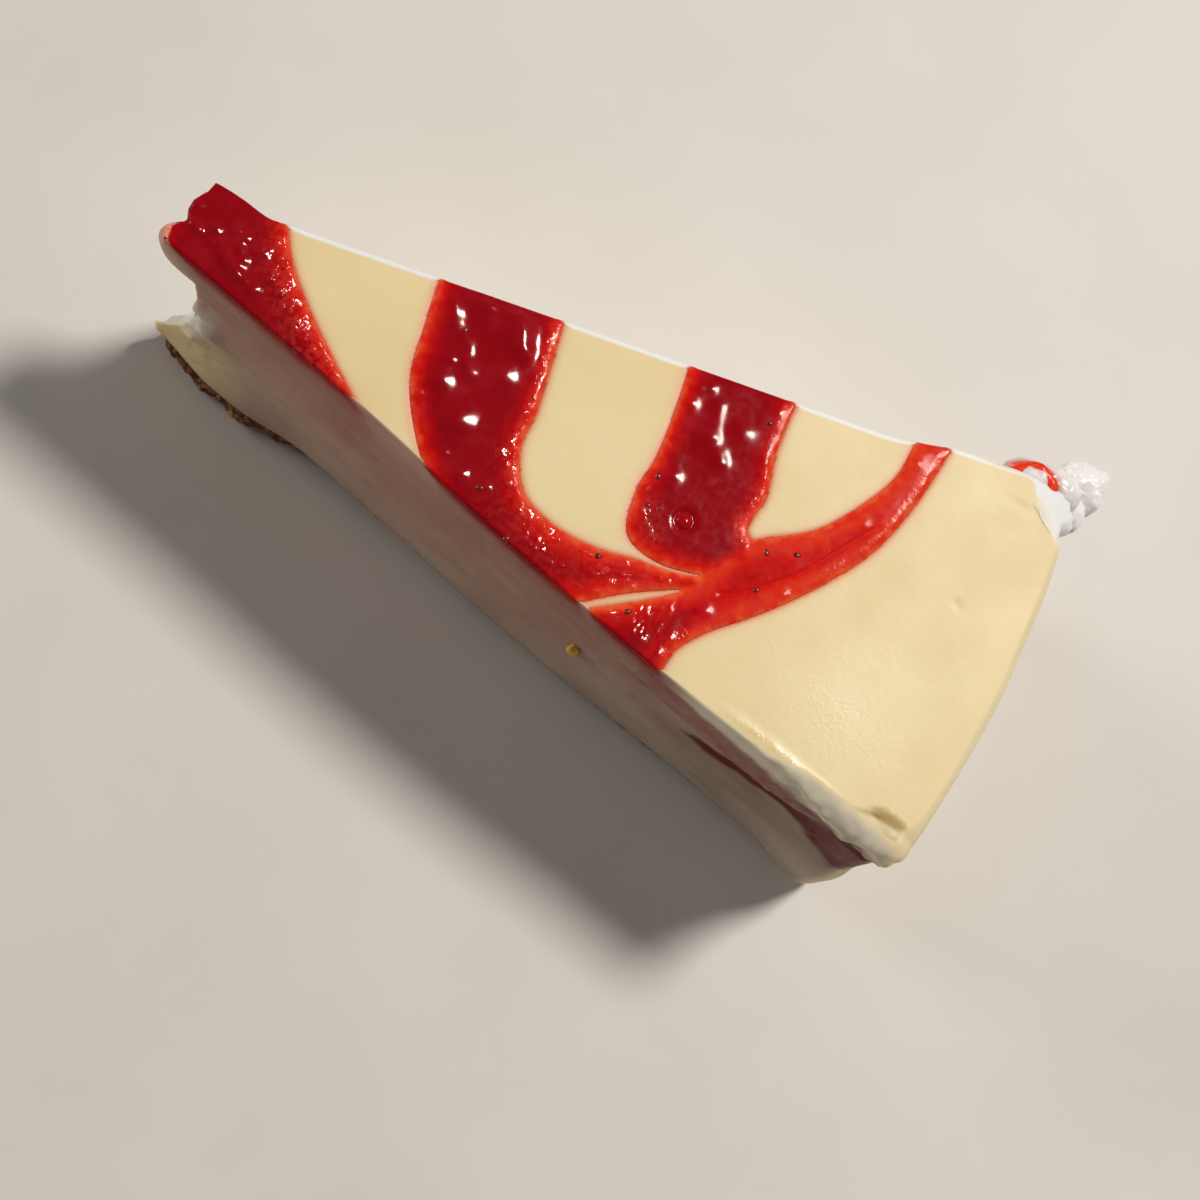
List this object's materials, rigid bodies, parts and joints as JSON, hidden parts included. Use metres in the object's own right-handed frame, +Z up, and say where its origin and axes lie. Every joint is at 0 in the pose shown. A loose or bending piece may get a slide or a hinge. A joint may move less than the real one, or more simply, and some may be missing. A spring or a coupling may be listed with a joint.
{
  "type": "slice of cheesecake",
  "caption": "Narrow wedge of strawberry-swirl cheesecake on a thin biscuit base, with its tip torn off and a lump of torn cake at one rim corner.",
  "frame": {"origin": "on the surface the slice stands on, under the middle of its bounding box", "axes": "+X along the middle of the slice from its torn tip to its rim, +Y towards the cut face with the torn lump, +Z up"},
  "size_m": [0.1146, 0.057, 0.041],
  "materials": {
    "cream": "set cream cheese: smooth, soft and slightly moist, pale yellow on its baked top and whiter where it is torn",
    "biscuit": "pressed biscuit crumb, dry, grainy and brown",
    "sauce": "wet, glossy strawberry sauce, dark crimson in the middle and orange-red where it thins at its edges"
  },
  "bodies": {
    "root": {"biscuit_base": "biscuit", "cheesecake": "cream", "strawberry_tip": "sauce", "strawberry_swirl": "sauce", "strawberry_pocket": "sauce"}
  },
  "joints": []
}
